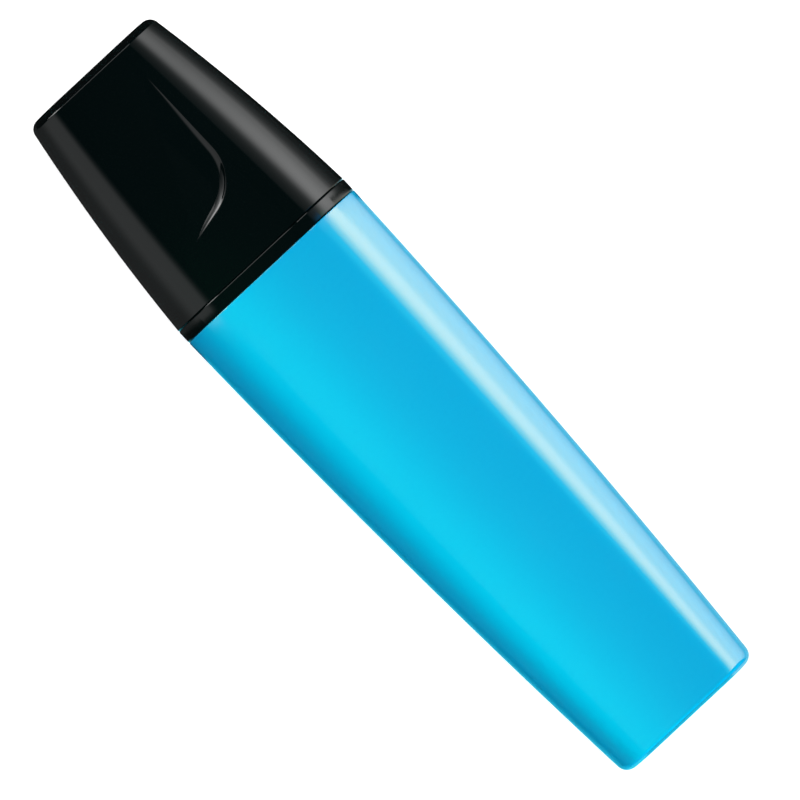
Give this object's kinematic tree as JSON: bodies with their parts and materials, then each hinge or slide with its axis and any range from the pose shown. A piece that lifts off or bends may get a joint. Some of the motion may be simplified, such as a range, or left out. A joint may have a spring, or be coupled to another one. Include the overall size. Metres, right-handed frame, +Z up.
{
  "type": "highlighter pen",
  "caption": "Short, broad, flat highlighter with a closed barrel, a chisel nib in a push-in front section and a tapering pull-off cap with thumb scoops and an inner sealing sleeve.",
  "frame": {"origin": "middle of the broad face that the closed pen lies on", "axes": "+X along the pen towards the end of the cap, +Y across its width, +Z up from the surface that it lies on"},
  "size_m": [0.105, 0.0268, 0.017],
  "materials": {
    "barrel_plastic": "moulded cyan, high gloss",
    "black_plastic": "moulded black, high gloss",
    "nib_fibre": "bonded fibre soaked with ink",
    "ink_fibre": "bundled fibre soaked with ink",
    "film": "thin clear film",
    "seal_plastic": "moulded black, satin"
  },
  "bodies": {
    "pen": {"barrel": "barrel_plastic", "front_section": "black_plastic", "nib": "nib_fibre", "ink_reservoir": "ink_fibre", "reservoir_wrap": "film"},
    "cap": {"cap": "black_plastic", "inner_cap": "seal_plastic"}
  },
  "joints": [
    {"name": "cap_slide", "type": "slide", "parent": "pen", "child": "cap", "axis": [1, 0, 0], "range_m": [0, 0.04]}
  ]
}
